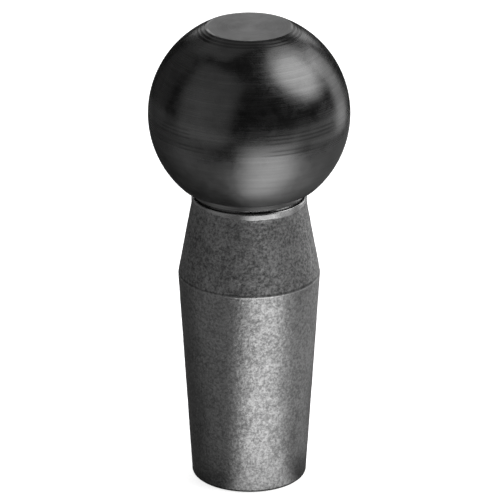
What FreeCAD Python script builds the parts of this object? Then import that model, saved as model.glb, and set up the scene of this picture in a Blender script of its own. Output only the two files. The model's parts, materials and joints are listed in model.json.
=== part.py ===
import FreeCAD, Part
import math
import os
import Sketcher

# Gooseneck hitch ball on a tapered shank, built up from its separate pieces.
# Frame: millimetres, +Z up, origin at the centre of the shank's foot.
# The seat ring fills the gap between the ball's foot and the neck's shoulder,
# and a screw from below draws the ball down onto it.

# Driving dimensions: alias, value in mm, meaning.
SIZES = [
    ("BallRadius", 29.369, "2-5/16 in towing ball"),
    ("BallHeight", 113.4, "ball centre above the foot"),
    ("FlatRadius", 12.6, "flat turned on top of the ball"),
    ("FlatEdge", 0.5, "softened edge of the top flat"),
    ("BallFoot", 91.8, "face under the ball that sits on the seat ring"),
    ("BallFootEdge", 0.5, "softened edge of that face"),
    ("LeadIn", 0.5, "small bevel at the mouth of a bore"),
    ("SocketRelief", 1.5, "room above the pilot inside the ball"),
    ("FootRadius", 16.95, "small end of the taper"),
    ("RidgeRadius", 20.95, "widest point, where neck and taper meet"),
    ("RidgeHeight", 64.0, "ridge above the foot"),
    ("ShoulderHeight", 88.9, "face of the neck that carries the seat ring"),
    ("ShoulderRadius", 15.7, "that face, outside"),
    ("ShoulderStep", 0.5, "drop from that face to the rim of the collar"),
    ("CollarFoot", 86.3, "top of the neck cone, where the upright collar starts"),
    ("CollarRadius", 16.9, "turned collar at the top of the neck"),
    ("CollarEdge", 0.4, "softened rim of the collar"),
    ("RidgeEdge", 0.4, "rounding of the ridge"),
    ("FootEdge", 1.2, "rounding of the foot's outer edge"),
    ("PilotRadius", 10.4, "pilot that centres the ball"),
    ("PilotTop", 110.9, "end of the pilot inside the ball"),
    ("PilotChamfer", 1.0, "lead-in on the pilot"),
    ("PilotFit", 0.03, "radial clearance of the pilot"),
    ("GlandHeight", 98.0, "seal groove in the pilot, its middle"),
    ("GlandWidth", 2.0, "seal groove, top to bottom"),
    ("GlandDepth", 1.5, "seal groove, depth"),
    ("SealSection", 0.75, "seal ring, radius of its section"),
    ("SealGap", 0.01, "seal ring, clearance from its groove"),
    ("RingTopRadius", 16.2, "seat ring, at the ball"),
    ("RingFootRadius", 16.5, "seat ring, at the shoulder"),
    ("RingEdge", 0.3, "softened edges of the seat ring"),
    ("RingFit", 0.05, "seat ring, radial clearance on the pilot"),
    ("DowelRadius", 1.25, "dowels that stop the ball turning"),
    ("DowelFoot", 82.9, "lower end of the dowels"),
    ("DowelLength", 16.0, "dowels, end to end"),
    ("DowelCircle", 12.3, "radius of the circle that they stand on"),
    ("DowelFit", 0.02, "radial clearance of a dowel"),
    ("DowelChamfer", 0.3, "lead-in on a dowel"),
    ("DowelRoom", 0.5, "space above a dowel inside the ball"),
    ("ScrewRadius", 6.35, "1/2 in socket head screw"),
    ("ScrewLength", 88.9, "screw under its head"),
    ("ScrewRoom", 2.5, "tapped hole beyond the end of the screw"),
    ("ScrewFit", 0.03, "radial clearance of the thread"),
    ("ScrewBore", 6.75, "clearance hole for the screw"),
    ("ScrewChamfer", 0.9, "pointed end of the screw"),
    ("HeadRadius", 9.525, "screw head"),
    ("HeadLength", 12.7, "height of the screw head"),
    ("HeadChamfer", 0.7, "edge of the screw head"),
    ("KeyRadius", 5.5, "hexagon socket, centre to corner"),
    ("KeyDepth", 6.2, "depth of the hexagon socket"),
    ("SeatHeight", 40.0, "face inside the shank that takes the screw's pull"),
    ("WasherHeight", 3.2, "thickness of the lock washer"),
    ("WasherRadius", 9.8, "lock washer, outside"),
    ("WasherBore", 6.6, "lock washer, inside"),
    ("WasherSplit", 1.2, "gap cut through the lock washer"),
    ("WasherSlant", 28.0, "slant of that gap, in degrees"),
    ("HeadRoom", 10.2, "radius of the bore for washer and head"),
    ("PlugRadius", 12.7, "1 in threaded plug in the foot"),
    ("PlugFit", 0.03, "radial clearance of its thread"),
    ("PlugFoot", 0.6, "outer face of the plug above the foot"),
    ("PlugTop", 19.6, "inner face of the plug"),
    ("PlugChamfer", 0.8, "edges of the plug"),
    ("DrawRadius", 6.75, "5/8-11 tapped hole, minor diameter halved"),
    ("MouthChamfer", 1.2, "countersink of the tapped hole"),
    ("SlotWidth", 4.0, "spanner slots across the plug's face"),
    ("SlotDepth", 3.0, "depth of the spanner slots"),
]

FULL_TURN = 360.0
HEXAGON_SIDES = 6
H_AXIS, V_AXIS = -1, -2
START, END, CENTRE = 1, 2, 3
HEAD_TOP = "Sizes.SeatHeight - Sizes.WasherHeight"
SCREW_TIP = f"{HEAD_TOP} + Sizes.ScrewLength"

doc = FreeCAD.newDocument("hitch_ball")
sheet = doc.addObject("Spreadsheet::Sheet", "Sizes")
for row, (alias, value, meaning) in enumerate(SIZES, start=1):
    sheet.set(f"A{row}", meaning)
    sheet.set(f"B{row}", str(value))
    sheet.setAlias(f"B{row}", alias)
doc.recompute()


def new_body(label):
    """A PartDesign body whose label names its node."""
    body = doc.addObject("PartDesign::Body", label)
    body.Label = label
    return body


def new_sketch(body, name, role):
    """A sketch on one of the body's own origin planes."""
    sketch = body.newObject("Sketcher::SketchObject", name)
    plane = [item for item in body.Origin.OriginFeatures if item.Role == role][0]
    sketch.AttachmentSupport = [(plane, "")]
    sketch.MapMode = "FlatFace"
    return sketch


def bind(sketch, kind, geometry, corner, expression):
    """Fix one coordinate of a corner to an expression of the sheet."""
    value = sheet_value(expression)
    if abs(value) < 1e-9:
        return
    index = sketch.addConstraint(Sketcher.Constraint(kind, -1, 1, geometry, corner, value))
    sketch.setExpression(f"Constraints[{index}]", expression)


def sheet_value(expression):
    """The present value of an expression such as Sizes.BallHeight - Sizes.BallRadius."""
    return float(sheet.evalExpression(expression))


def outline(sketch, corners):
    """A closed outline of straight lines. Each corner is a pair of expressions."""
    points = []
    for across, along in corners:
        points.append(FreeCAD.Vector(sheet_value(across), sheet_value(along), 0))
    count = len(points)
    for index in range(count):
        line = Part.LineSegment(points[index], points[(index + 1) % count])
        sketch.addGeometry(line, False)
    for index in range(count):
        following = (index + 1) % count
        sketch.addConstraint(Sketcher.Constraint("Coincident", index, END, following, START))
    for index, (across, along) in enumerate(corners):
        pin(sketch, index, START, across, along)


def pin(sketch, geometry, corner, across, along):
    """Hold a corner at its place: on an axis where a coordinate is zero."""
    if abs(sheet_value(across)) < 1e-9:
        sketch.addConstraint(Sketcher.Constraint("PointOnObject", geometry, corner, V_AXIS))
    else:
        bind(sketch, "DistanceX", geometry, corner, across)
    if abs(sheet_value(along)) < 1e-9:
        sketch.addConstraint(Sketcher.Constraint("PointOnObject", geometry, corner, H_AXIS))
    else:
        bind(sketch, "DistanceY", geometry, corner, along)


def turn(body, name, sketch, kind="PartDesign::Revolution"):
    """Turn a sketch about the vertical axis, to add metal or to remove it."""
    feature = body.newObject(kind, name)
    feature.Profile = sketch
    feature.ReferenceAxis = (sketch, ["V_Axis"])
    feature.Angle = FULL_TURN
    sketch.Visibility = False
    doc.recompute()


def removed(body, name, before):
    """Stop if a cut took nothing away."""
    if body.Shape.Volume >= before - 0.01:
        raise RuntimeError(f"{name} removes nothing from {body.Label}")


def turned_body(label, corners):
    """A solid of revolution with a straight-sided half section."""
    body = new_body(label)
    sketch = new_sketch(body, label + "_section", "XZ_Plane")
    outline(sketch, corners)
    turn(body, label + "_turned", sketch)
    return body


def bore_out(body, name, corners):
    """Turn away a straight-sided half section."""
    before = body.Shape.Volume
    sketch = new_sketch(body, name + "_section", "XZ_Plane")
    outline(sketch, corners)
    turn(body, name, sketch, "PartDesign::Groove")
    removed(body, name, before)


def circle_edges(shape, radius, height, tolerance=0.02):
    """Names of the level circular edges of this radius at this height."""
    found = []
    for number, edge in enumerate(shape.Edges, start=1):
        curve = edge.Curve
        if not isinstance(curve, Part.Circle):
            continue
        level = abs(curve.Center.z - height) < tolerance
        if level and abs(curve.Radius - radius) < tolerance:
            found.append(f"Edge{number}")
    return found


def soften(body, name, size, radius, height):
    """Round one circular edge."""
    base = body.Tip
    edges = circle_edges(base.Shape, sheet_value(radius), sheet_value(height))
    if not edges:
        raise RuntimeError(f"{name} finds no edge on {body.Label}")
    feature = body.newObject("PartDesign::Fillet", name)
    feature.Base = (base, edges)
    feature.setExpression("Radius", size)
    doc.recompute()


def drill_pair(body, name, radius, depth_from, depth_to):
    """Two upright holes on the dowel circle, opposite each other."""
    before = body.Shape.Volume
    sketch = new_sketch(body, name + "_section", "XY_Plane")
    sketch.AttachmentOffset = FreeCAD.Placement(
        FreeCAD.Vector(0, 0, sheet_value(depth_from)), FreeCAD.Rotation())
    sketch.setExpression("AttachmentOffset.Base.z", depth_from)
    hole = Part.Circle(FreeCAD.Vector(sheet_value("Sizes.DowelCircle"), 0, 0),
                       FreeCAD.Vector(0, 0, 1), sheet_value(radius))
    sketch.addGeometry(hole, False)
    sketch.addConstraint(Sketcher.Constraint("PointOnObject", 0, CENTRE, H_AXIS))
    bind(sketch, "DistanceX", 0, CENTRE, "Sizes.DowelCircle")
    index = sketch.addConstraint(Sketcher.Constraint("Radius", 0, sheet_value(radius)))
    sketch.setExpression(f"Constraints[{index}]", radius)
    pocket = body.newObject("PartDesign::Pocket", name)
    pocket.Profile = sketch
    pocket.Reversed = True
    pocket.Length = sheet_value(f"{depth_to} - ({depth_from})")
    pocket.setExpression("Length", f"{depth_to} - ({depth_from})")
    doc.recompute()
    removed(body, name, before)
    one_hole = body.Shape.Volume
    pattern = body.newObject("PartDesign::PolarPattern", name + "_pair")
    pattern.Originals = [pocket]
    pattern.Axis = (sketch, ["N_Axis"])
    pattern.Angle = FULL_TURN
    pattern.Occurrences = 2
    body.Tip = pattern
    doc.recompute()
    removed(body, name + "_pair", one_hole)


def make_hitch_ball():
    """Turned ball: flat on top, blind socket and tapped hole from below."""
    body = new_body("hitch_ball")
    sketch = new_sketch(body, "ball_section", "XZ_Plane")
    radius = sheet_value("Sizes.BallRadius")
    height = sheet_value("Sizes.BallHeight")
    flat = sheet_value("Sizes.FlatRadius")
    foot = sheet_value("Sizes.BallFoot")
    top = height + math.sqrt(radius ** 2 - flat ** 2)
    foot_radius = math.sqrt(radius ** 2 - (height - foot) ** 2)
    circle = Part.Circle(FreeCAD.Vector(0, height, 0), FreeCAD.Vector(0, 0, 1), radius)
    lower = math.atan2(foot - height, foot_radius)
    upper = math.atan2(top - height, flat)
    sketch.addGeometry(Part.ArcOfCircle(circle, lower, upper), False)
    corners = [(flat, top), (0, top), (0, foot), (foot_radius, foot)]
    points = [FreeCAD.Vector(across, along, 0) for across, along in corners]
    for first, second in zip(points, points[1:]):
        sketch.addGeometry(Part.LineSegment(first, second), False)
    joins = [(0, END, 1, START), (1, END, 2, START), (2, END, 3, START), (3, END, 0, START)]
    for first, first_end, second, second_end in joins:
        sketch.addConstraint(
            Sketcher.Constraint("Coincident", first, first_end, second, second_end))
    sketch.addConstraint(Sketcher.Constraint("PointOnObject", 0, CENTRE, V_AXIS))
    bind(sketch, "DistanceY", 0, CENTRE, "Sizes.BallHeight")
    index = sketch.addConstraint(Sketcher.Constraint("Radius", 0, radius))
    sketch.setExpression(f"Constraints[{index}]", "Sizes.BallRadius")
    bind(sketch, "DistanceX", 1, START, "Sizes.FlatRadius")
    sketch.addConstraint(Sketcher.Constraint("Horizontal", 1))
    sketch.addConstraint(Sketcher.Constraint("PointOnObject", 1, END, V_AXIS))
    sketch.addConstraint(Sketcher.Constraint("PointOnObject", 2, END, V_AXIS))
    bind(sketch, "DistanceY", 2, END, "Sizes.BallFoot")
    sketch.addConstraint(Sketcher.Constraint("Horizontal", 3))
    turn(body, "ball_turned", sketch)
    flat_height = ("Sizes.BallHeight + sqrt(Sizes.BallRadius ^ 2 - Sizes.FlatRadius ^ 2)")
    foot_edge = ("sqrt(Sizes.BallRadius ^ 2 - (Sizes.BallHeight - Sizes.BallFoot) ^ 2)")
    soften(body, "flat_edge", "Sizes.FlatEdge",
           "Sizes.FlatRadius", flat_height)
    soften(body, "ball_foot_edge", "Sizes.BallFootEdge",
           foot_edge, "Sizes.BallFoot")
    socket = "Sizes.PilotRadius + Sizes.PilotFit"
    socket_top = "Sizes.PilotTop + Sizes.SocketRelief"
    thread = "Sizes.ScrewRadius + Sizes.ScrewFit"
    thread_top = f"{SCREW_TIP} + Sizes.ScrewRoom"
    bore_out(body, "ball_socket", [
        ("0", "Sizes.BallFoot"),
        (f"{socket} + Sizes.LeadIn", "Sizes.BallFoot"),
        (socket, "Sizes.BallFoot + Sizes.LeadIn"),
        (socket, socket_top),
        (f"{thread} + Sizes.LeadIn", socket_top),
        (thread, f"{socket_top} + Sizes.LeadIn"),
        (thread, thread_top),
        ("0", f"{thread_top} + ({thread}) / 2"),
    ])
    drill_pair(body, "ball_dowel_hole", "Sizes.DowelRadius + Sizes.DowelFit",
               "Sizes.BallFoot", "Sizes.DowelFoot + Sizes.DowelLength + Sizes.DowelRoom")
    return body


def make_tapered_shank():
    """Forging: pilot, shoulder, collar, neck that widens to the ridge, taper to the foot."""
    rim = "Sizes.ShoulderHeight - Sizes.ShoulderStep"
    body = turned_body("tapered_shank", [
        ("0", "0"),
        ("Sizes.FootRadius", "0"),
        ("Sizes.RidgeRadius", "Sizes.RidgeHeight"),
        ("Sizes.CollarRadius", "Sizes.CollarFoot"),
        ("Sizes.CollarRadius", rim),
        ("Sizes.ShoulderRadius", rim),
        ("Sizes.ShoulderRadius", "Sizes.ShoulderHeight"),
        ("Sizes.PilotRadius", "Sizes.ShoulderHeight"),
        ("Sizes.PilotRadius", "Sizes.PilotTop - Sizes.PilotChamfer"),
        ("Sizes.PilotRadius - Sizes.PilotChamfer", "Sizes.PilotTop"),
        ("0", "Sizes.PilotTop"),
    ])
    soften(body, "collar_edge", "Sizes.CollarEdge",
           "Sizes.CollarRadius", rim)
    soften(body, "ridge_edge", "Sizes.RidgeEdge",
           "Sizes.RidgeRadius", "Sizes.RidgeHeight")
    soften(body, "foot_edge", "Sizes.FootEdge",
           "Sizes.FootRadius", "0")
    plug_bore = "Sizes.PlugRadius + Sizes.PlugFit"
    bore_out(body, "shank_bore", [
        ("0", "0"),
        (f"{plug_bore} + Sizes.LeadIn", "0"),
        (plug_bore, "Sizes.LeadIn"),
        (plug_bore, "Sizes.PlugTop"),
        ("Sizes.HeadRoom", "Sizes.PlugTop"),
        ("Sizes.HeadRoom", "Sizes.SeatHeight"),
        ("Sizes.ScrewBore", "Sizes.SeatHeight"),
        ("Sizes.ScrewBore", "Sizes.PilotTop"),
        ("0", "Sizes.PilotTop"),
    ])
    gland_foot = "Sizes.GlandHeight - Sizes.GlandWidth / 2"
    gland_top = "Sizes.GlandHeight + Sizes.GlandWidth / 2"
    bore_out(body, "seal_groove", [
        ("Sizes.PilotRadius - Sizes.GlandDepth", gland_foot),
        ("Sizes.PilotRadius + Sizes.LeadIn", gland_foot),
        ("Sizes.PilotRadius + Sizes.LeadIn", gland_top),
        ("Sizes.PilotRadius - Sizes.GlandDepth", gland_top),
    ])
    drill_pair(body, "shank_dowel_hole", "Sizes.DowelRadius + Sizes.DowelFit",
               "Sizes.DowelFoot", "Sizes.ShoulderHeight")
    return body


def make_seat_ring():
    """Turned ring, a little narrower at the ball, drilled for the dowels."""
    bore = "Sizes.PilotRadius + Sizes.RingFit"
    body = turned_body("seat_ring", [
        (bore, "Sizes.ShoulderHeight"),
        ("Sizes.RingFootRadius", "Sizes.ShoulderHeight"),
        ("Sizes.RingTopRadius", "Sizes.BallFoot"),
        (bore, "Sizes.BallFoot"),
    ])
    soften(body, "ring_foot_edge", "Sizes.RingEdge",
           "Sizes.RingFootRadius", "Sizes.ShoulderHeight")
    soften(body, "ring_top_edge", "Sizes.RingEdge",
           "Sizes.RingTopRadius", "Sizes.BallFoot")
    drill_pair(body, "ring_dowel_hole", "Sizes.DowelRadius + Sizes.DowelFit",
               "Sizes.ShoulderHeight", "Sizes.BallFoot")
    return body


def make_seal_ring():
    """Round rubber ring in the pilot's groove."""
    ring = doc.addObject("Part::Torus", "seal_ring")
    ring.Label = "seal_ring"
    ring.setExpression("Radius1", "Sizes.PilotRadius - Sizes.GlandDepth"
                                  " + Sizes.SealSection + Sizes.SealGap")
    ring.setExpression("Radius2", "Sizes.SealSection")
    ring.setExpression("Placement.Base.z", "Sizes.GlandHeight")
    return ring


def make_dowel_pins():
    """Two bevelled dowels, opposite each other."""
    pins = []
    for side, sign in (("right", "1"), ("left", "-1")):
        rod = doc.addObject("Part::Cylinder", f"dowel_rod_{side}")
        rod.setExpression("Radius", "Sizes.DowelRadius")
        rod.setExpression("Height", "Sizes.DowelLength")
        rod.setExpression("Placement.Base.x", f"{sign} * Sizes.DowelCircle")
        rod.setExpression("Placement.Base.z", "Sizes.DowelFoot")
        doc.recompute()
        bevel = sheet_value("Sizes.DowelChamfer")
        pin_object = doc.addObject("Part::Chamfer", f"dowel_{side}")
        pin_object.Base = rod
        ends = [number for number, edge in enumerate(rod.Shape.Edges, start=1)
                if isinstance(edge.Curve, Part.Circle)]
        pin_object.Edges = [(number, bevel, bevel) for number in ends]
        pins.append(pin_object)
    group = doc.addObject("Part::Compound", "dowel_pins")
    group.Label = "dowel_pins"
    group.Links = pins
    return group


def make_retaining_screw():
    """Socket head screw, head down, with a hexagon in its head."""
    body = turned_body("retaining_screw", [
        ("0", f"{HEAD_TOP} - Sizes.HeadLength"),
        ("Sizes.HeadRadius - Sizes.HeadChamfer", f"{HEAD_TOP} - Sizes.HeadLength"),
        ("Sizes.HeadRadius", f"{HEAD_TOP} - Sizes.HeadLength + Sizes.HeadChamfer"),
        ("Sizes.HeadRadius", HEAD_TOP),
        ("Sizes.ScrewRadius", HEAD_TOP),
        ("Sizes.ScrewRadius", f"{SCREW_TIP} - Sizes.ScrewChamfer"),
        ("Sizes.ScrewRadius - Sizes.ScrewChamfer", SCREW_TIP),
        ("0", SCREW_TIP),
    ])
    before = body.Shape.Volume
    sketch = new_sketch(body, "key_section", "XY_Plane")
    face = f"{HEAD_TOP} - Sizes.HeadLength"
    sketch.AttachmentOffset = FreeCAD.Placement(
        FreeCAD.Vector(0, 0, sheet_value(face)), FreeCAD.Rotation())
    sketch.setExpression("AttachmentOffset.Base.z", face)
    corners = []
    for side in range(HEXAGON_SIDES):
        angle = FULL_TURN / HEXAGON_SIDES * (side + 0.5)
        corners.append((f"Sizes.KeyRadius * cos({angle})", f"Sizes.KeyRadius * sin({angle})"))
    outline(sketch, corners)
    pocket = body.newObject("PartDesign::Pocket", "key_socket")
    pocket.Profile = sketch
    pocket.Reversed = True
    pocket.setExpression("Length", "Sizes.KeyDepth")
    doc.recompute()
    removed(body, "key_socket", before)
    return body


def make_lock_washer():
    """Flat spring washer with one slanting split."""
    disc = doc.addObject("Part::Cylinder", "washer_disc")
    disc.setExpression("Radius", "Sizes.WasherRadius")
    disc.setExpression("Height", "Sizes.WasherHeight")
    hole = doc.addObject("Part::Cylinder", "washer_hole")
    hole.setExpression("Radius", "Sizes.WasherBore")
    hole.setExpression("Height", "Sizes.WasherHeight")
    ring = doc.addObject("Part::Cut", "washer_ring")
    ring.Base = disc
    ring.Tool = hole
    split = doc.addObject("Part::Box", "washer_split")
    split.setExpression("Length", "Sizes.WasherRadius")
    split.setExpression("Width", "Sizes.WasherSplit")
    split.setExpression("Height", "Sizes.WasherHeight * 3")
    split.Placement.Rotation = FreeCAD.Rotation(FreeCAD.Vector(1, 0, 0), 1)
    split.setExpression("Placement.Rotation.Angle", "Sizes.WasherSlant")
    split.setExpression("Placement.Base.z", "-Sizes.WasherHeight")
    split.setExpression("Placement.Base.y", "Sizes.WasherHeight")
    washer = doc.addObject("Part::Cut", "lock_washer")
    washer.Label = "lock_washer"
    washer.Base = ring
    washer.Tool = split
    washer.setExpression("Placement.Base.z", HEAD_TOP)
    doc.recompute()
    if washer.Shape.Volume >= ring.Shape.Volume - 1:
        raise RuntimeError("the washer has no split")
    return washer


def make_end_plug():
    """Threaded plug in the foot, tapped for a draw bolt and slotted for a spanner."""
    body = turned_body("end_plug", [
        ("Sizes.DrawRadius + Sizes.MouthChamfer", "Sizes.PlugFoot"),
        ("Sizes.PlugRadius - Sizes.PlugChamfer", "Sizes.PlugFoot"),
        ("Sizes.PlugRadius", "Sizes.PlugFoot + Sizes.PlugChamfer"),
        ("Sizes.PlugRadius", "Sizes.PlugTop - Sizes.PlugChamfer"),
        ("Sizes.PlugRadius - Sizes.PlugChamfer", "Sizes.PlugTop"),
        ("Sizes.DrawRadius", "Sizes.PlugTop"),
        ("Sizes.DrawRadius", "Sizes.PlugFoot + Sizes.MouthChamfer"),
    ])
    before = body.Shape.Volume
    sketch = new_sketch(body, "slot_section", "XY_Plane")
    sketch.setExpression("AttachmentOffset.Base.z", "Sizes.PlugFoot")
    reach = "Sizes.PlugRadius + 1"
    half = "Sizes.SlotWidth / 2"
    outline(sketch, [
        (f"-({reach})", f"-({half})"),
        (reach, f"-({half})"),
        (reach, half),
        (f"-({reach})", half),
    ])
    pocket = body.newObject("PartDesign::Pocket", "spanner_slot")
    pocket.Profile = sketch
    pocket.Reversed = True
    pocket.setExpression("Length", "Sizes.SlotDepth")
    doc.recompute()
    removed(body, "spanner_slot", before)
    return body


def check_document():
    """Stop if any object failed to compute."""
    doc.recompute()
    for item in doc.Objects:
        for word in ("Invalid", "Error"):
            if word in item.State:
                raise RuntimeError(f"{item.Name} is {item.State}")


def write(item):
    """Check one sub-part's shape and write it under its label."""
    shape = item.Shape
    if shape.isNull() or not shape.isValid() or not shape.Solids:
        raise RuntimeError(f"{item.Label} has no good solid")
    shape.exportStep(os.path.join("parts", item.Label + ".step"))
    print(f"{item.Label}: {len(shape.Solids)} solid, {shape.Volume:.1f} mm3, {shape.BoundBox}")


os.makedirs("parts", exist_ok=True)
makers = [make_hitch_ball, make_tapered_shank, make_seat_ring, make_seal_ring,
          make_dowel_pins, make_retaining_screw, make_lock_washer, make_end_plug]
pieces = [make() for make in makers]
check_document()
for piece in pieces:
    write(piece)
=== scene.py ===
import json
import math
import bpy
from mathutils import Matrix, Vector, noise


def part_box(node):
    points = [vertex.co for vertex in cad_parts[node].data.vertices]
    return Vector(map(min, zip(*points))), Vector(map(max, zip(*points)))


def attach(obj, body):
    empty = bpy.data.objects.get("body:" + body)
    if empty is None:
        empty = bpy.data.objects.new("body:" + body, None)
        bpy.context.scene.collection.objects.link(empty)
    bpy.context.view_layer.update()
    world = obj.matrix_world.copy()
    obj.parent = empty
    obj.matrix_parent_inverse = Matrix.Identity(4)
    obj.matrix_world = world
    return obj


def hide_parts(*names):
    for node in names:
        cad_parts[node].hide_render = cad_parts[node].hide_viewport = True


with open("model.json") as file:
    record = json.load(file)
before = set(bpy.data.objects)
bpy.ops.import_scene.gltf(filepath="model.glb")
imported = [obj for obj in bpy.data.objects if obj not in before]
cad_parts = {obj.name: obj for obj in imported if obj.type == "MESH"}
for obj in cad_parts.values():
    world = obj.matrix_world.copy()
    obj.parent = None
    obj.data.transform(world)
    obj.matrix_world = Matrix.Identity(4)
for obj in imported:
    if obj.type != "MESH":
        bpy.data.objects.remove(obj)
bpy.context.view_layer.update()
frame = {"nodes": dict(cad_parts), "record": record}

MM = 0.001

# ---------------------------------------------------------------- sizes, in metres
mounts = {mount["name"]: mount for mount in frame["record"]["mounts"]}
ball_low, ball_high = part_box("hitch_ball")
shank_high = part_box("tapered_shank")[1]
ring_low, ring_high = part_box("seat_ring")

BALL_CENTRE = mounts["coupler_ball"]["pos_m"][2]
BALL_RADIUS = mounts["coupler_ball"]["dims"]["r_mm"] * MM
BALL_TOP = ball_high.z
BALL_FOOT = ball_low.z
FLAT_RADIUS = math.sqrt(BALL_RADIUS ** 2 - (BALL_TOP - BALL_CENTRE) ** 2)
FLAT_ANGLE = math.atan2(FLAT_RADIUS, BALL_TOP - BALL_CENTRE)
RIDGE_RADIUS = shank_high.x
SHOULDER = ring_low.z
PILOT_TOP = shank_high.z
RIDGE_HEIGHT = 64.0 * MM
FOOT_RADIUS = 16.95 * MM
COLLAR_FOOT = 86.3 * MM
COLLAR_RADIUS = 16.9 * MM
COLLAR_TOP = SHOULDER - 0.5 * MM
SHOULDER_RADIUS = 15.7 * MM
PILOT_RADIUS = 10.4 * MM
PILOT_CHAMFER = 1.0 * MM
PILOT_FIT = 0.03 * MM
SEAL_GROOVE = (97.0 * MM, 99.0 * MM)
SEAL_GROOVE_RADIUS = 8.9 * MM
SOCKET_TOP = PILOT_TOP + 1.5 * MM
THREAD_TOP = 128.2 * MM
SCREW_BORE = 6.75 * MM
SCREW_THREAD = 6.38 * MM
HEAD_ROOM = 10.2 * MM
SEAT_HEIGHT = 40.0 * MM
PLUG_BORE = 12.73 * MM
PLUG_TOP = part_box("end_plug")[1].z
LEAD_IN = 0.5 * MM
FLAT_EDGE = 0.5 * MM
BALL_FOOT_EDGE = 0.5 * MM
FOOT_EDGE = 1.2 * MM
RIDGE_EDGE = 0.4 * MM
COLLAR_EDGE = 0.4 * MM


# ---------------------------------------------------------------- mesh helpers
SHARP_ANGLE = math.radians(42)


def spaced(first, second, step):
    """Points from first up to, but not including, second, no further apart than step."""
    count = max(1, math.ceil((second - first).length / step))
    return [first.lerp(second, index / count) for index in range(count)]


def section(corners):
    """A half section from corners (radius, height, rounding, step), in order.

    Each corner is rounded by an arc, and the line that leaves it is divided
    into lengths no longer than step.
    """
    places = [Vector((corner[0], corner[1])) for corner in corners]
    trims = []
    for index, (_, _, rounding, _) in enumerate(corners):
        here = places[index]
        before = (places[index - 1] - here).normalized()
        after = (places[(index + 1) % len(corners)] - here).normalized()
        if rounding == 0:
            trims.append([here])
            continue
        half = before.angle(after) / 2
        reach = rounding / math.tan(half)
        middle = here + (before + after).normalized() * rounding / math.sin(half)
        start = here + before * reach - middle
        finish = here + after * reach - middle
        turn = start.angle_signed(finish)
        count = max(4, math.ceil(abs(turn) * rounding / min(corners[index][3], rounding / 3)))
        arc = []
        for number in range(count + 1):
            angle = -turn * number / count
            cos, sin = math.cos(angle), math.sin(angle)
            arc.append(middle + Vector((start.x * cos - start.y * sin,
                                        start.x * sin + start.y * cos)))
        trims.append(arc)
    points = []
    for index, trim in enumerate(trims):
        points += trim[:-1]
        following = trims[(index + 1) % len(trims)][0]
        points += spaced(trim[-1], following, corners[index][3])
    return points


def lathe(name, profile, turns, closed, dent=None):
    """Turn a half section about the vertical axis.

    A closed profile makes a ring; an open one starts and ends on the axis.
    dent gives the depth to sink a point below the turned surface.
    """
    vertices = []
    rings = []
    for index, point in enumerate(profile):
        if not closed and index in (0, len(profile) - 1):
            rings.append([len(vertices)] * turns)
            vertices.append((0.0, 0.0, point.y))
            continue
        before = profile[index - 1]
        after = profile[(index + 1) % len(profile)]
        run = (after - before).normalized()
        outward = Vector((run.y, -run.x))
        ring = []
        for turn in range(turns):
            angle = 2 * math.pi * turn / turns
            cos, sin = math.cos(angle), math.sin(angle)
            radius, height = point.x, point.y
            if dent:
                depth = dent(Vector((radius * cos, radius * sin, height)))
                radius -= outward.x * depth
                height -= outward.y * depth
            ring.append(len(vertices))
            vertices.append((radius * cos, radius * sin, height))
        rings.append(ring)
    faces = []
    last = len(profile) if closed else len(profile) - 1
    for index in range(last):
        lower, upper = rings[index], rings[(index + 1) % len(rings)]
        for turn in range(turns):
            beside = (turn + 1) % turns
            corners = [lower[turn], lower[beside], upper[beside], upper[turn]]
            faces.append(list(dict.fromkeys(corners)))    # a point on the axis counts once
    mesh = bpy.data.meshes.new(name)
    mesh.from_pydata(vertices, [], faces)
    mesh.validate()
    mesh.shade_smooth()
    mesh.set_sharp_from_angle(angle=SHARP_ANGLE)
    piece = bpy.data.objects.new(name, mesh)
    bpy.context.scene.collection.objects.link(piece)
    return piece


# ---------------------------------------------------------------- the turned ball
FACING_PITCH = 0.55 * MM
FACING_DEPTH = 0.0025 * MM
TURNING_DEPTH = 0.005 * MM
TOOL_STEPS = (0.9, 3.3, 5.4)    # degrees below the rim of the flat
TOOL_STEP_DEPTH = 0.045 * MM
TOOL_STEP_HALF = 0.26 * MM
EQUATOR_LINES = (83.3, 85.6, 87.9, 92.4, 94.9)    # degrees from the top of the ball
EQUATOR_BAND = (86.9, 95.2)    # degrees from the top of the ball
DRIFT_SIZE = 1.7 * MM
FINE_MARKS, BROAD_MARKS = 62.0, 21.0    # turning marks to a radian
NEAR_FLAT = 0.30    # radians below the rim of the flat, where the marks are deepest
BALL_TURNS = 224
FLAT_STEPS = 84
RIM_STEPS = 6
SPHERE_STEPS = 276
FOOT_STEPS = 5


def facing_groove(radius):
    """Depth of the facing tool's spiral on the flat, taken as rings."""
    wave = abs((radius / FACING_PITCH) % 1.0 - 0.5) * 2
    drift = noise.noise(Vector((radius / DRIFT_SIZE, 3.1, 0.4)))
    return FACING_DEPTH * (wave + 0.6 * abs(drift))


def turning_mark(angle):
    """Depth of the turning marks at an angle down from the top of the ball."""
    fine = abs(noise.noise(Vector((angle * FINE_MARKS, 0.3, 7.7))))
    broad = abs(noise.noise(Vector((angle * BROAD_MARKS, 5.3, 1.1))))
    near_flat = max(0.0, 1.0 - (angle - FLAT_ANGLE) / NEAR_FLAT)
    depth = TURNING_DEPTH * (0.3 * fine + 0.3 * broad + near_flat * (1.2 * fine + broad))
    for number, step in enumerate(TOOL_STEPS):
        away = abs(angle - FLAT_ANGLE - math.radians(step)) * BALL_RADIUS / TOOL_STEP_HALF
        depth += TOOL_STEP_DEPTH * max(0.0, 1.0 - away) / (1 + 0.5 * number)
    return depth


def on_sphere(radius, angle):
    """A point of the half section, at an angle down from the top of the ball."""
    return Vector((radius * math.sin(angle), BALL_CENTRE + radius * math.cos(angle)))


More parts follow.
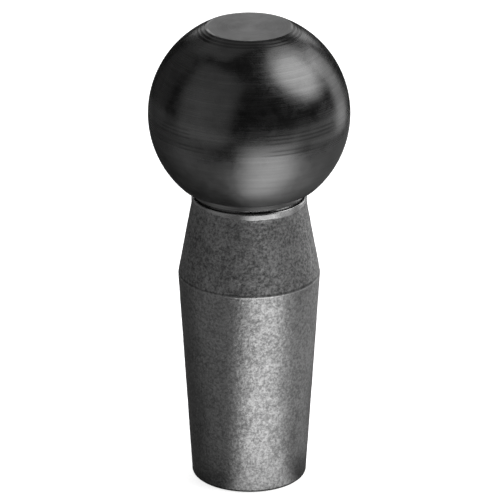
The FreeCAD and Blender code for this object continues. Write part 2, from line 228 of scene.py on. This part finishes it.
def rounded(before, corner, after, steps):
    """The points of a curve that cuts a corner, without the two ends."""
    points = []
    for index in range(1, steps):
        way = index / steps
        points.append(before.lerp(corner, way).lerp(corner.lerp(after, way), way))
    return points


def ball_profile():
    """Half section of the ball: flat, sphere, foot, socket and tapped hole."""
    points = []
    for index in range(FLAT_STEPS + 1):
        radius = (FLAT_RADIUS - FLAT_EDGE) * index / FLAT_STEPS
        points.append(Vector((radius, BALL_TOP - facing_groove(radius))))
    start = FLAT_ANGLE + FLAT_EDGE / BALL_RADIUS
    finish = math.acos((BALL_FOOT - BALL_CENTRE) / BALL_RADIUS) - BALL_FOOT_EDGE / BALL_RADIUS
    rim = Vector((FLAT_RADIUS, BALL_TOP))
    before = Vector((FLAT_RADIUS - FLAT_EDGE, BALL_TOP))
    points += rounded(before, rim, on_sphere(BALL_RADIUS, start), RIM_STEPS)
    for index in range(SPHERE_STEPS + 1):
        angle = start + (finish - start) * index / SPHERE_STEPS
        points.append(on_sphere(BALL_RADIUS - turning_mark(angle), angle))
    foot_radius = math.sqrt(BALL_RADIUS ** 2 - (BALL_CENTRE - BALL_FOOT) ** 2)
    corner = Vector((foot_radius, BALL_FOOT))
    after = Vector((foot_radius - BALL_FOOT_EDGE, BALL_FOOT))
    points += rounded(points[-1], corner, after, FOOT_STEPS) + [after]
    socket = PILOT_RADIUS + PILOT_FIT
    inside = [
        (socket + LEAD_IN, BALL_FOOT),
        (socket, BALL_FOOT + LEAD_IN),
        (socket, SOCKET_TOP),
        (SCREW_THREAD + LEAD_IN, SOCKET_TOP),
        (SCREW_THREAD, SOCKET_TOP + LEAD_IN),
        (SCREW_THREAD, THREAD_TOP),
        (0.0, THREAD_TOP + SCREW_THREAD / 2),
    ]
    points += [Vector(place) for place in inside]
    return points


def make_ball():
    """The ball, in place of its CAD node."""
    piece = lathe("turned_ball", ball_profile(), BALL_TURNS, closed=False)
    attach(piece, "root")
    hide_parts("hitch_ball")
    return piece


# ---------------------------------------------------------------- the forging
FORGED_STEP = 0.34 * MM
BORED_STEP = 40.0 * MM
SHANK_TURNS = 284
HOLLOW_SIZE, HOLLOW_DEPTH = 9.0 * MM, 0.035 * MM
LUMP_SIZE, LUMP_DEPTH = 2.4 * MM, 0.030 * MM
GRAIN_SIZE, GRAIN_DEPTH = 0.95 * MM, 0.028 * MM
PIT_SIZE, PIT_DEPTH, PIT_RARITY = 1.5 * MM, 0.16 * MM, 0.38
NECK_ROUGHER = 1.35
SKIN_RADIUS = SHOULDER_RADIUS + 0.3 * MM    # the skin lies outside this radius
SKIN_FOOT = 0.02 * MM                       # and above this height
FOOT_FADE = 1.5 * MM
COLLAR_FADE, COLLAR_START = 0.9 * MM, 0.3
TURNED_SHARE = 0.08    # of the forged skin's depth, left on the collar and at the foot


def forged_dent(point):
    """Depth of the forged and blasted skin at a point: hollows, grain and pits."""
    hollow = noise.noise(point / HOLLOW_SIZE) + 1
    lump = noise.noise(point / LUMP_SIZE + Vector((4.0, 0, 9.0))) + 1
    grain = noise.noise(point / GRAIN_SIZE + Vector((0, 6.0, 2.0))) + 1
    pit = max(0.0, noise.noise(point / PIT_SIZE + Vector((8.0, 3.0, 0))) - PIT_RARITY)
    depth = HOLLOW_DEPTH * hollow + LUMP_DEPTH * lump + GRAIN_DEPTH * grain + PIT_DEPTH * pit
    return depth * NECK_ROUGHER if point.z > RIDGE_HEIGHT else depth


def forged_share(point):
    """Share of the forged skin that a point has: none inside, little at foot and collar."""
    if math.hypot(point.x, point.y) <= SKIN_RADIUS or point.z <= SKIN_FOOT:
        return 0.0
    near_collar = (COLLAR_FOOT - point.z) / COLLAR_FADE + COLLAR_START
    return max(TURNED_SHARE, min(1.0, point.z / FOOT_FADE, near_collar))


def make_forging():
    """Taper, ridge and neck with their forged skin, the turned collar and the bored inside."""
    groove_low, groove_high = SEAL_GROOVE
    outside = [
        (PLUG_BORE + LEAD_IN, 0.0, 0, 0.5 * MM),
        (FOOT_RADIUS, 0.0, FOOT_EDGE, FORGED_STEP),
        (RIDGE_RADIUS, RIDGE_HEIGHT, RIDGE_EDGE, FORGED_STEP),
        (COLLAR_RADIUS, COLLAR_FOOT, 0, FORGED_STEP),
        (COLLAR_RADIUS, COLLAR_TOP, COLLAR_EDGE, FORGED_STEP),
    ]
    hidden = [
        (SHOULDER_RADIUS, COLLAR_TOP),
        (SHOULDER_RADIUS, SHOULDER),
        (PILOT_RADIUS, SHOULDER),
        (PILOT_RADIUS, groove_low),
        (SEAL_GROOVE_RADIUS, groove_low),
        (SEAL_GROOVE_RADIUS, groove_high),
        (PILOT_RADIUS, groove_high),
        (PILOT_RADIUS, PILOT_TOP - PILOT_CHAMFER),
        (PILOT_RADIUS - PILOT_CHAMFER, PILOT_TOP),
        (SCREW_BORE, PILOT_TOP),
        (SCREW_BORE, SEAT_HEIGHT),
        (HEAD_ROOM, SEAT_HEIGHT),
        (HEAD_ROOM, PLUG_TOP),
        (PLUG_BORE, PLUG_TOP),
        (PLUG_BORE, LEAD_IN),
    ]
    profile = section(outside + [(radius, height, 0, BORED_STEP) for radius, height in hidden])

    def dent(point):
        return forged_share(point) * forged_dent(point)

    piece = lathe("forged_shank", profile, SHANK_TURNS, closed=True, dent=dent)
    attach(piece, "root")
    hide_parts("tapered_shank")
    return piece


# ---------------------------------------------------------------- material helpers
class Recipe:
    """Builds one material's node tree."""

    def __init__(self, name):
        self.material = bpy.data.materials.new(name)
        self.material.use_nodes = True
        self.tree = self.material.node_tree
        self.shader = self.tree.nodes["Principled BSDF"]
        self.place = self.add("ShaderNodeTexCoord").outputs["Object"]

    def add(self, kind, **settings):
        node = self.tree.nodes.new(kind)
        for key, value in settings.items():
            setattr(node, key, value)
        return node

    def join(self, source, target):
        if isinstance(source, bpy.types.NodeSocket):
            self.tree.links.new(source, target)
        else:
            target.default_value = source

    def math(self, operation, first, second=0.0):
        node = self.add("ShaderNodeMath", operation=operation)
        for socket, value in zip(node.inputs, (first, second)):
            self.join(value, socket)
        return node.outputs[0]

    def plus(self, first, second):
        return self.math("ADD", first, second)

    def times(self, first, second):
        return self.math("MULTIPLY", first, second)

    def away(self, value, place):
        """How far a value is from a place, either way."""
        return self.math("ABSOLUTE", self.math("SUBTRACT", value, place))

    def parts(self, vector):
        node = self.add("ShaderNodeSeparateXYZ")
        self.join(vector, node.inputs[0])
        return node.outputs

    def combine(self, across, along, up):
        node = self.add("ShaderNodeCombineXYZ")
        for socket, value in zip(node.inputs, (across, along, up)):
            self.join(value, socket)
        return node.outputs[0]

    def noise(self, scale, detail, rough, place=None, twist=0.0):
        node = self.add("ShaderNodeTexNoise")
        self.join(place or self.place, node.inputs["Vector"])
        node.inputs["Scale"].default_value = scale
        node.inputs["Detail"].default_value = detail
        node.inputs["Roughness"].default_value = rough
        node.inputs["Distortion"].default_value = twist
        return node.outputs["Fac"]

    def cells(self, scale):
        node = self.add("ShaderNodeTexVoronoi", feature="F1")
        self.join(self.place, node.inputs["Vector"])
        node.inputs["Scale"].default_value = scale
        return node.outputs["Distance"]

    def span(self, value, low, high, out_low=0.0, out_high=1.0):
        node = self.add("ShaderNodeMapRange", interpolation_type="SMOOTHSTEP")
        self.join(value, node.inputs["Value"])
        for key, number in (("From Min", low), ("From Max", high),
                            ("To Min", out_low), ("To Max", out_high)):
            self.join(number, node.inputs[key])
        return node.outputs["Result"]

    def blend(self, factor, first, second):
        node = self.add("ShaderNodeMix", data_type="RGBA")
        self.join(factor, node.inputs["Factor"])
        self.join(first, node.inputs[6])
        self.join(second, node.inputs[7])
        return node.outputs[2]

    def bump(self, height, distance, strength, under=None):
        node = self.add("ShaderNodeBump")
        node.inputs["Strength"].default_value = strength
        node.inputs["Distance"].default_value = distance
        self.join(height, node.inputs["Height"])
        if under:
            self.join(under, node.inputs["Normal"])
        return node.outputs["Normal"]

    def finish(self, colour, rough, normal=None, metallic=1.0, **constants):
        inputs = self.shader.inputs
        self.join(colour, inputs["Base Color"])
        self.join(rough, inputs["Roughness"])
        inputs["Metallic"].default_value = metallic
        for key, value in constants.items():
            inputs[key.replace("_", " ")].default_value = value
        if normal:
            self.join(normal, inputs["Normal"])
        return self.material


def grey(value):
    return (value, value, value, 1.0)


def from_axis(recipe, across, along):
    """Distance from the vertical axis."""
    squares = recipe.plus(recipe.times(across, across), recipe.times(along, along))
    return recipe.math("SQRT", squares)


def azimuth_of(recipe, across, along):
    """Angle round the vertical axis, from the front towards the right."""
    return recipe.math("ARCTAN2", across, recipe.times(along, -1.0))


def turned_coordinates(recipe, centre):
    """The two level coordinates, and the angle down from the top about a centre."""
    across, along, up = recipe.parts(recipe.place)
    angle = recipe.math("ARCTAN2", from_axis(recipe, across, along),
                        recipe.math("SUBTRACT", up, centre))
    return across, along, angle


def rings_place(recipe, across, along, down, slow, fast):
    """Coordinates that change slowly round the axis and fast down the surface."""
    return recipe.combine(recipe.times(across, slow), recipe.times(along, slow),
                          recipe.times(down, fast))


def rings_at(recipe, angle, places, half):
    """1 on thin rings at the given angles down from the top, falling to 0 beside them."""
    rings = 0.0
    for place in places:
        ring = recipe.span(recipe.away(angle, place), 0.35 * half, half, 1.0, 0.0)
        rings = recipe.math("MAXIMUM", rings, ring)
    return rings


RIM_LINE_HALF = math.radians(1.1)
EQUATOR_LINE_HALF = math.radians(0.75)
BELOW_EQUATOR = (1.62, 1.85)    # radians from the top, over which the ball gets duller and, as painted light from below, lighter


def ball_material():
    """Turned steel under a dark oil film: fine rings, tool marks, smudges, a faced flat with a
    painted highlight round its rim, and painted light below the equator.
    """
    recipe = Recipe("blackened_turned_steel")
    across, along, angle = turned_coordinates(recipe, BALL_CENTRE)
    fine = recipe.noise(1.0, 3.0, 0.65, rings_place(recipe, across, along, angle, 45.0, 150.0))
    bands = recipe.noise(1.0, 2.0, 0.55, rings_place(recipe, across, along, angle, 28.0, 34.0))
    smudge = recipe.noise(85.0, 4.0, 0.6)
    print_like = recipe.noise(240.0, 3.0, 0.65, twist=0.6)
    speck = recipe.noise(1500.0, 2.0, 0.6)
    broken = recipe.span(recipe.noise(70.0, 2.0, 0.5, twist=0.4), 0.46, 0.62)
    flat = recipe.span(angle, FLAT_ANGLE - 0.006, FLAT_ANGLE + 0.002, 1.0, 0.0)
    tone = recipe.plus(recipe.times(smudge, 0.45), recipe.times(bands, 0.25))
    tone = recipe.plus(tone, recipe.times(print_like, 0.30))
    skin = recipe.blend(recipe.span(tone, 0.32, 0.68), grey(0.072), grey(0.118))

    low, high = (math.radians(edge) for edge in EQUATOR_BAND)
    band = recipe.times(recipe.span(angle, low - 0.01, low + 0.01),
                        recipe.span(angle, high - 0.003, high + 0.003, 1.0, 0.0))
    skin = recipe.blend(recipe.times(band, 0.35), skin, grey(0.05))
    rim_lines = rings_at(recipe, angle,
                         [FLAT_ANGLE + math.radians(step) for step in TOOL_STEPS], RIM_LINE_HALF)
    rim_lines = recipe.times(rim_lines, recipe.span(broken, 0.0, 1.0, 0.45, 0.8))
    equator_lines = rings_at(recipe, angle, [math.radians(line) for line in EQUATOR_LINES],
                             EQUATOR_LINE_HALF)
    equator_lines = recipe.times(equator_lines, recipe.times(broken, 0.45))
    lines = recipe.math("MAXIMUM", rim_lines, equator_lines)
    skin = recipe.blend(lines, skin, grey(0.015))

    faced = recipe.blend(recipe.span(smudge, 0.35, 0.65), grey(0.115), grey(0.15))
    # Painted highlight: a lighter ring, broken by noise, round the edge of the flat.
    rim = recipe.span(angle, FLAT_ANGLE - 0.028, FLAT_ANGLE - 0.014)
    faced = recipe.blend(recipe.times(rim, broken), faced, grey(0.34))
    colour = recipe.blend(flat, skin, faced)
    # Painted light from below: the base colour lightens below the equator.
    colour = recipe.blend(recipe.span(angle, *BELOW_EQUATOR, 0.0, 0.09), colour, grey(0.3))

    rough = recipe.plus(recipe.span(smudge, 0.3, 0.7, 0.22, 0.28),
                        recipe.span(print_like, 0.35, 0.65, -0.02, 0.03))
    rough = recipe.plus(rough, recipe.span(fine, 0.3, 0.7, -0.05, 0.05))
    rough = recipe.plus(rough, recipe.times(flat, 0.22))
    rough = recipe.plus(rough, recipe.span(angle, *BELOW_EQUATOR, 0.0, 0.12))
    normal = recipe.bump(fine, 0.012 * MM, 0.35)
    normal = recipe.bump(bands, 0.020 * MM, 0.25, normal)
    normal = recipe.bump(speck, 0.010 * MM, 0.35, normal)
    return recipe.finish(colour, rough, normal, Anisotropic=0.2, Specular_Tint=grey(0.5))


FRONT_HIGHLIGHT_AZIMUTH = 0.36        # radians from the front: middle of the painted highlight, where the ridge line is brightest and the collar band widest
COLLAR_HIGHLIGHT_AZIMUTH = 0.62    # the collar's base colour is lightest on this arc, a painted highlight


def forging_material():
    """Shot-blasted forging: grain, pits, scale on the neck, a dark strip above the ridge, and a
    worn ridge and a turned collar, both with painted highlights toward the front.
    """
    recipe = Recipe("blasted_forged_steel")
    across, along, up = recipe.parts(recipe.place)
    grain = recipe.noise(1250.0, 2.0, 0.75)
    coarse = recipe.noise(520.0, 3.0, 0.6)
    patch = recipe.noise(110.0, 4.0, 0.6)
    pits = recipe.cells(1100.0)
    tone = recipe.plus(recipe.times(grain, 0.74), recipe.times(coarse, 0.26))
    blotch = recipe.plus(recipe.times(tone, 0.8), recipe.times(patch, 0.2))
    light_spots = recipe.span(blotch, 0.36, 0.64)
    shank = recipe.blend(light_spots, grey(0.115), grey(0.26))
    scale = recipe.blend(light_spots, grey(0.078), grey(0.245))
    neck = recipe.span(up, RIDGE_HEIGHT - 0.1 * MM, RIDGE_HEIGHT + 0.5 * MM)
    colour = recipe.blend(neck, shank, scale)

    azimuth = azimuth_of(recipe, across, along)
    # Painted highlight: toward the front right the collar's turned band reaches lower and the
    # ridge line stays bright; away from there the band narrows.
    off_front = recipe.away(azimuth, FRONT_HIGHLIGHT_AZIMUTH)
    highlight_taper = recipe.span(off_front, 0.25, 1.4, 0.0, 1.1 * MM)
    edge = recipe.plus(up, recipe.times(coarse, 0.9 * MM))
    edge = recipe.math("SUBTRACT", edge, highlight_taper)
    collar = recipe.span(edge, COLLAR_FOOT + 0.25 * MM, COLLAR_FOOT + 0.75 * MM)
    # Painted highlight: the turned collar is lightest round one arc.
    collar_highlight = recipe.span(recipe.away(azimuth, COLLAR_HIGHLIGHT_AZIMUTH), 0.08, 0.34, 1.0, 0.0)
    turned = recipe.blend(collar_highlight, grey(0.23), grey(0.46))
    colour = recipe.blend(collar, colour, turned)

    # A darker strip on the neck just above the ridge.
    dark_above_ridge = recipe.span(recipe.plus(up, recipe.times(patch, 0.6 * MM)),
                       RIDGE_HEIGHT + 0.5 * MM, RIDGE_HEIGHT + 1.3 * MM, 0.75, 0.0)
    colour = recipe.blend(recipe.times(neck, dark_above_ridge), colour, grey(0.025))
    # A lighter line along the ridge: partly wear, partly a painted highlight, strongest toward
    # the front.
    from_ridge = recipe.away(up, RIDGE_HEIGHT - 0.25 * MM)
    worn_and_lit_ridge = recipe.span(recipe.plus(from_ridge, recipe.times(patch, 0.8 * MM)),
                       0.35 * MM, 0.62 * MM, 0.6, 0.0)
    worn_and_lit_ridge = recipe.times(worn_and_lit_ridge, recipe.span(off_front, 0.5, 0.95, 1.0, 0.2))
    colour = recipe.blend(worn_and_lit_ridge, colour, grey(0.40))

    rough = recipe.span(blotch, 0.36, 0.64, 0.46, 0.36)
    rough = recipe.plus(rough, recipe.times(neck, 0.14))
    rough = recipe.plus(rough, recipe.times(collar, -0.27))
    cut = recipe.span(collar, 0.0, 1.0, 1.0, 0.3)
    normal = recipe.bump(recipe.times(coarse, cut), 0.12 * MM, 0.5)
    normal = recipe.bump(recipe.times(grain, cut), 0.09 * MM, 0.7, normal)
    normal = recipe.bump(recipe.times(pits, cut), 0.08 * MM, 0.35, normal)
    return recipe.finish(colour, rough, normal)


def machined_material(name, dark, light, rough_low, rough_high, pitch):
    """Turned metal with rings about the vertical axis at the given pitch."""
    recipe = Recipe(name)
    across, along, up = recipe.parts(recipe.place)
    lines = recipe.combine(recipe.times(across, 60.0),
                           recipe.times(from_axis(recipe, across, along), 1.0 / pitch),
                           recipe.times(up, 1.0 / pitch))
    rings = recipe.noise(1.0, 2.0, 0.6, lines)
    smudge = recipe.noise(140.0, 4.0, 0.6)
    tone = recipe.plus(recipe.times(rings, 0.5), recipe.times(smudge, 0.5))
    colour = recipe.blend(recipe.span(tone, 0.35, 0.65), dark, light)
    rough = recipe.span(smudge, 0.3, 0.7, rough_low, rough_high)
    normal = recipe.bump(rings, 0.02 * MM, 0.5)
    return recipe.finish(colour, rough, normal)


def ring_material():
    """Turned ring, with painted shade that darkens both seams, under the ball and above the
    neck.
    """
    recipe = Recipe("turned_ring_steel")
    across, along, up = recipe.parts(recipe.place)
    smudge = recipe.noise(260.0, 3.0, 0.6)
    rings = recipe.noise(1.0, 2.0, 0.6, rings_place(recipe, across, along, up, 60.0, 4500.0))
    ragged = recipe.times(smudge, 0.25 * MM)
    below_ball = recipe.plus(recipe.math("SUBTRACT", ring_high.z, up), ragged)
    above_neck = recipe.plus(recipe.math("SUBTRACT", up, ring_low.z), ragged)
    # Painted shade: near-black bands in both seams, where the ball and the neck shade the ring;
    # the mask also roughens them.
    outside_seam_shade = recipe.times(recipe.span(below_ball, 1.3 * MM, 1.8 * MM),
                         recipe.span(above_neck, 0.15 * MM, 0.4 * MM))
    steel = recipe.blend(recipe.span(rings, 0.35, 0.65), grey(0.095), grey(0.15))
    colour = recipe.blend(outside_seam_shade, grey(0.018), steel)
    rough = recipe.span(outside_seam_shade, 0.0, 1.0, 0.55, 0.34)
    return recipe.finish(colour, rough, recipe.bump(rings, 0.02 * MM, 0.4))


def rubber_material():
    """Moulded nitrile rubber with a faint dusty bloom."""
    recipe = Recipe("nitrile_rubber")
    bloom = recipe.noise(500.0, 4.0, 0.6)
    colour = recipe.blend(recipe.span(bloom, 0.4, 0.7), grey(0.012), grey(0.035))
    rough = recipe.span(bloom, 0.3, 0.7, 0.5, 0.7)
    normal = recipe.bump(bloom, 0.02 * MM, 0.4)
    return recipe.finish(colour, rough, normal, metallic=0.0)


def put_on(piece, material):
    piece.data.materials.clear()
    piece.data.materials.append(material)


def dress():
    """Make the visible pieces and give every carried-over node its material."""
    put_on(make_ball(), ball_material())
    put_on(make_forging(), forging_material())
    finishes = {
        "seat_ring": ring_material(),
        "seal_ring": rubber_material(),
        "dowel_pins": machined_material("ground_steel", grey(0.45), grey(0.6),
                                        0.18, 0.28, 0.15 * MM),
        "retaining_screw": machined_material("black_oxide_steel", (0.025, 0.025, 0.028, 1),
                                             (0.06, 0.06, 0.065, 1), 0.35, 0.5, 0.3 * MM),
        "lock_washer": machined_material("zinc_plated_steel", (0.42, 0.42, 0.40, 1),
                                         (0.6, 0.6, 0.57, 1), 0.25, 0.4, 0.4 * MM),
        "end_plug": machined_material("oiled_plug_steel", grey(0.2), grey(0.36),
                                      0.28, 0.42, 0.25 * MM),
    }
    for node, material in finishes.items():
        put_on(frame["nodes"][node], material)


# ---------------------------------------------------------------- camera and light
CAMERA_DISTANCE = 1.40
CAMERA_ELEVATION = math.radians(22.0)
CAMERA_TARGET = Vector((0.25 * MM, 0, 70.6 * MM))
CAMERA_LENS = 344.0


def make_camera():
    """A long lens in front of the object, a little above it."""
    data = bpy.data.cameras.new("camera")
    data.lens = CAMERA_LENS
    data.sensor_width = 36.0
    data.clip_start = 0.1
    data.clip_end = 20.0
    camera = bpy.data.objects.new("camera", data)
    back = Vector((0, -math.cos(CAMERA_ELEVATION), math.sin(CAMERA_ELEVATION)))
    camera.location = CAMERA_TARGET + back * CAMERA_DISTANCE
    camera.rotation_euler = back.to_track_quat("Z", "Y").to_euler()
    bpy.context.scene.collection.objects.link(camera)
    bpy.context.scene.camera = camera


def panel(name, direction, distance, width, height, radiance, roll=0.0, shape="RECTANGLE"):
    """A soft panel that faces the ball from the given direction."""
    data = bpy.data.lights.new(name, "AREA")
    data.shape = shape
    data.size = width
    data.size_y = height
    data.energy = radiance * math.pi * width * height
    light = bpy.data.objects.new(name, data)
    towards = Vector(direction).normalized()
    light.location = Vector((0, 0, BALL_CENTRE)) + towards * distance
    light.rotation_euler = towards.to_track_quat("Z", "Y").to_euler()
    light.rotation_euler.rotate_axis("Z", roll)
    light.visible_camera = False
    bpy.context.scene.collection.objects.link(light)
    return light


# Name, direction from the ball, distance, width and height in metres, radiance, roll in degrees.
SOFT_DISCS = [
    ("key", (0.735, 0.0, 0.69), 1.0, 1.24, 1.14, 1.12, -35),
    ("key_core", (0.745, -0.080, 0.662), 1.0, 0.87, 0.70, 1.85, -54),
]

# Name, direction from the ball, distance, width and height in metres, radiance.
PANELS = [
    ("fill", (-0.79, -0.57, 0.34), 1.2, 1.6, 2.0, 0.30),
    ("back", (0.07, 0.93, 0.36), 1.2, 1.15, 0.5, 2.9),
    ("rim", (0.79, 0.60, 0.10), 1.2, 0.5, 1.2, 2.0),
    ("left_back", (-0.80, 0.64, 0.25), 1.2, 0.85, 1.2, 0.11),
    ("overhead", (-0.20, 0.40, 0.90), 1.2, 1.1, 1.0, 0.28),
]

# Name, place to the right and back, width and length in metres, radiance.
CARDS = [
    ("table_left", -0.68, -0.30, 1.06, 1.4, 0.20),
    ("low_left", -0.085, -0.06, 0.13, 0.52, 0.035),
    ("table_right", 0.70, -0.20, 0.90, 1.4, 0.60),
    ("low_right", 0.195, 0.10, 0.27, 0.40, 0.40),
]
CARD_DEPTH = 0.4 * MM

# Name, depth below the foot, near and far radius in millimetres, middle and half spread in
# degrees, radiance. No two have the same depth, so that none lies in another's plane.
FANS = [
    ("foot_left", 0.6, 30, 110, -42, 50, 0.14),
    ("mid_left", 0.8, 80, 300, -64, 46, 0.22),
    ("foot_right", 0.7, 30, 130, 82, 58, 0.48),
]
FAN_SEGMENTS = 16


def make_lights():
    """A key with a brighter core, panels round the rest, and sheets that light from below."""
    for name, direction, distance, width, height, radiance, roll in SOFT_DISCS:
        panel(name, direction, distance, width, height, radiance, math.radians(roll), "ELLIPSE")
    for row in PANELS:
        panel(*row)
    for row in CARDS:
        card(*row)
    glow_fan("bounce", 0.5, 18, 400, 23, 45, 3.0, at_foot=0.6, swing=-4, wider=1.2)
    for row in FANS:
        glow_fan(*row)


def glow_fan(name, depth, near, reach, middle, spread, radiance,
             at_foot=1.0, swing=0.0, wider=1.0):
    """A see-through glowing sector level with the table, brightest along its middle.

    Lengths are in millimetres. The angles, in degrees, turn from the front to
    the right. at_foot is the share of the glow next to the foot; it is whole a
    tenth of the way out. swing turns the part next to the foot further round,
    and wider spreads it.
    """
    near, reach = near * MM, reach * MM
    first, last = middle - wider * spread, middle + wider * spread + swing
    points = []
    for index in range(FAN_SEGMENTS + 1):
        angle = math.radians(first + (last - first) * index / FAN_SEGMENTS)
        for distance in (near, reach):
            points.append((distance * math.sin(angle), -distance * math.cos(angle), -depth * MM))
    faces = []
    for index in range(FAN_SEGMENTS):
        corner = 2 * index
        faces.append((corner, corner + 1, corner + 3, corner + 2))
    mesh = bpy.data.meshes.new(name)
    mesh.from_pydata(points, [], faces)
    sheet = bpy.data.objects.new(name, mesh)
    bpy.context.scene.collection.objects.link(sheet)
    recipe = Recipe(name)
    across, along, _ = recipe.parts(recipe.place)
    distance = from_axis(recipe, across, along)
    far = reach - near
    axis = recipe.span(distance, near, near + 0.3 * far,
                       math.radians(middle + swing), math.radians(middle))
    away = recipe.away(azimuth_of(recipe, across, along), axis)
    half = recipe.span(distance, near, near + 0.3 * far,
                       math.radians(wider * spread), math.radians(spread))
    side = recipe.span(recipe.math("DIVIDE", away, half), 0.25, 1.0, radiance, 0.0)
    fall = recipe.times(recipe.span(distance, near, near + 0.1 * far, at_foot, 1.0),
                        recipe.span(distance, near + 0.27 * far, reach, 1.0, 0.5))
    glow = recipe.add("ShaderNodeEmission")
    recipe.join(recipe.times(side, fall), glow.inputs["Strength"])
    total = recipe.add("ShaderNodeAddShader")
    recipe.join(glow.outputs[0], total.inputs[0])
    recipe.join(recipe.add("ShaderNodeBsdfTransparent").outputs[0], total.inputs[1])
    recipe.join(total.outputs[0], recipe.tree.nodes["Material Output"].inputs["Surface"])
    put_on(sheet, recipe.material)
    sheet.visible_camera = False
    sheet.visible_shadow = False


def card(name, across, along, width, length, radiance):
    """A glowing card level with the table, facing up."""
    light = panel(name, (0, 0, 1), 1.0, width, length, radiance)
    light.location = Vector((across, along, -CARD_DEPTH))
    light.rotation_euler = (math.pi, 0, 0)


def make_world():
    """White for the camera, dim for everything that the steel reflects."""
    world = bpy.data.worlds.new("studio")
    world.use_nodes = True
    tree = world.node_tree
    tree.nodes.clear()
    output = tree.nodes.new("ShaderNodeOutputWorld")
    paths = tree.nodes.new("ShaderNodeLightPath")
    mix = tree.nodes.new("ShaderNodeMixShader")
    dim = tree.nodes.new("ShaderNodeBackground")
    white = tree.nodes.new("ShaderNodeBackground")
    dim.inputs["Color"].default_value = grey(0.048)
    white.inputs["Color"].default_value = grey(1.0)
    tree.links.new(paths.outputs["Is Camera Ray"], mix.inputs["Fac"])
    tree.links.new(dim.outputs[0], mix.inputs[1])
    tree.links.new(white.outputs[0], mix.inputs[2])
    tree.links.new(mix.outputs[0], output.inputs["Surface"])
    bpy.context.scene.world = world


FLOOR_RADIUS = 0.45
FLOOR_TURNS = 96
FLOOR_DEPTH = 0.02 * MM
FLOOR_GLOW = 0.8


def make_floor():
    """A pale round table top, for the camera only. The cards and fans light the steel."""
    mesh = bpy.data.meshes.new("floor")
    angles = [2 * math.pi * turn / FLOOR_TURNS for turn in range(FLOOR_TURNS)]
    rim = [(FLOOR_RADIUS * math.cos(angle), FLOOR_RADIUS * math.sin(angle), 0.0)
           for angle in angles]
    mesh.from_pydata(rim, [], [list(range(FLOOR_TURNS))])
    floor = bpy.data.objects.new("floor", mesh)
    floor.location.z = -FLOOR_DEPTH
    bpy.context.scene.collection.objects.link(floor)
    recipe = Recipe("pale_floor")
    cloud = recipe.noise(6.0, 3.0, 0.5)
    colour = recipe.blend(cloud, grey(0.86), grey(0.90))
    recipe.shader.inputs["Emission Color"].default_value = grey(1.0)
    recipe.shader.inputs["Emission Strength"].default_value = FLOOR_GLOW
    put_on(floor, recipe.finish(colour, 0.8, metallic=0.0))
    floor.visible_glossy = False
    floor.visible_diffuse = False
    floor.visible_shadow = False


dress()
make_camera()
make_lights()
make_world()
make_floor()
bpy.context.scene.view_settings.view_transform = "Standard"
bpy.context.scene.view_settings.look = "None"
